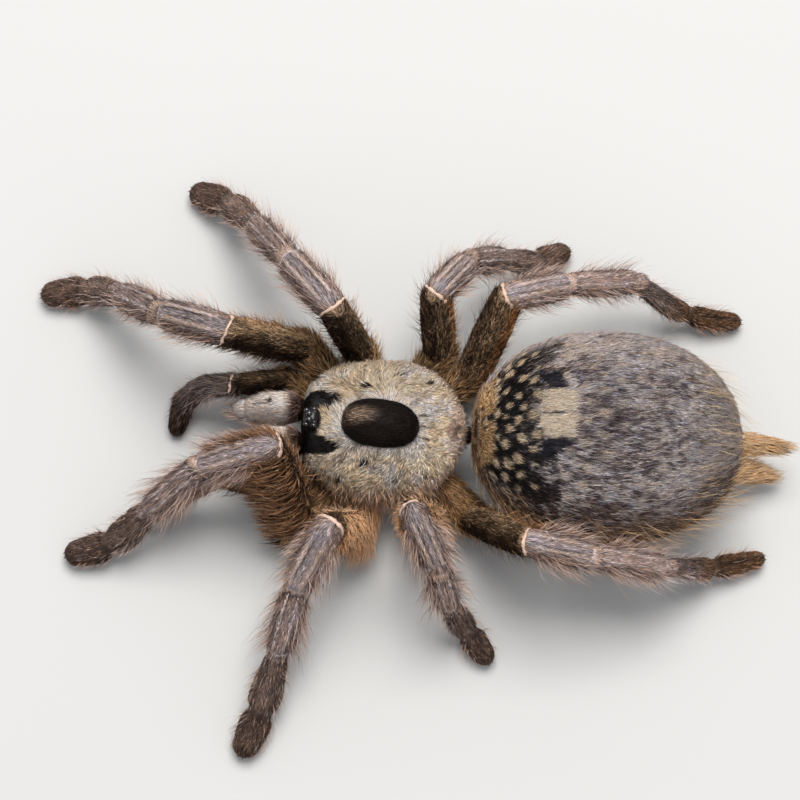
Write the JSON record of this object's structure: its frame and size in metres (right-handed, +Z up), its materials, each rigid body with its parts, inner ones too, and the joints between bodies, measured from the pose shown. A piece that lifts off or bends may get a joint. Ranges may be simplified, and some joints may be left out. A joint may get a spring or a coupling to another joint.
{
  "type": "tarantula",
  "caption": "Still life-size horned baboon tarantula, adult female, standing with bent legs, hairy coat, dark foveal horn and spotted abdomen.",
  "frame": {"origin": "on the floor under the middle of the whole spider's bounding box", "axes": "-X towards the head, -Y towards the spider's left side, +Z up from the floor"},
  "size_m": [0.0907, 0.0713, 0.0208],
  "materials": {
    "carapace": "short dense straw and grey hair, matt",
    "horn": "close dark velvet",
    "eyes": "wet-looking black",
    "chelicera": "cream-grey hair",
    "fang": "polished black",
    "underside": "dark brown velvet",
    "abdomen": "brown-black hair with cream spots",
    "spinneret": "tan hair",
    "coxa": "orange-brown hair",
    "femur": "dark brown hair with a gold sheen",
    "patella": "pinkish grey-brown hair",
    "tibia": "grey-brown hair",
    "foot": "dark brown pads of dense hair"
  },
  "bodies": {
    "root": {"carapace": "carapace", "horn": "horn", "eye_tubercle": "eyes", "chelicera_right": "chelicera", "chelicera_left": "chelicera", "fang_right": "fang", "fang_left": "fang", "sternum": "underside", "pedicel": "underside", "abdomen": "abdomen", "spinneret_right": "spinneret", "spinneret_left": "spinneret", "leg_1_right_coxa": "coxa", "leg_1_right_femur": "femur", "leg_1_right_patella": "patella", "leg_1_right_tibia": "tibia", "leg_1_right_foot": "foot", "leg_1_left_coxa": "coxa", "leg_1_left_femur": "femur", "leg_1_left_patella": "patella", "leg_1_left_tibia": "tibia", "leg_1_left_foot": "foot", "leg_2_right_coxa": "coxa", "leg_2_right_femur": "femur", "leg_2_right_patella": "patella", "leg_2_right_tibia": "tibia", "leg_2_right_foot": "foot", "leg_2_left_coxa": "coxa", "leg_2_left_femur": "femur", "leg_2_left_patella": "patella", "leg_2_left_tibia": "tibia", "leg_2_left_foot": "foot", "leg_3_right_coxa": "coxa", "leg_3_right_femur": "femur", "leg_3_right_patella": "patella", "leg_3_right_tibia": "tibia", "leg_3_right_foot": "foot", "leg_3_left_coxa": "coxa", "leg_3_left_femur": "femur", "leg_3_left_patella": "patella", "leg_3_left_tibia": "tibia", "leg_3_left_foot": "foot", "leg_4_right_coxa": "coxa", "leg_4_right_femur": "femur", "leg_4_right_patella": "patella", "leg_4_right_tibia": "tibia", "leg_4_right_foot": "foot", "leg_4_left_coxa": "coxa", "leg_4_left_femur": "femur", "leg_4_left_patella": "patella", "leg_4_left_tibia": "tibia", "leg_4_left_foot": "foot", "palp_right_coxa": "coxa", "palp_right_femur": "femur", "palp_right_shank": "tibia", "palp_right_foot": "foot", "palp_left_coxa": "coxa", "palp_left_femur": "femur", "palp_left_shank": "tibia", "palp_left_foot": "foot"}
  },
  "joints": []
}
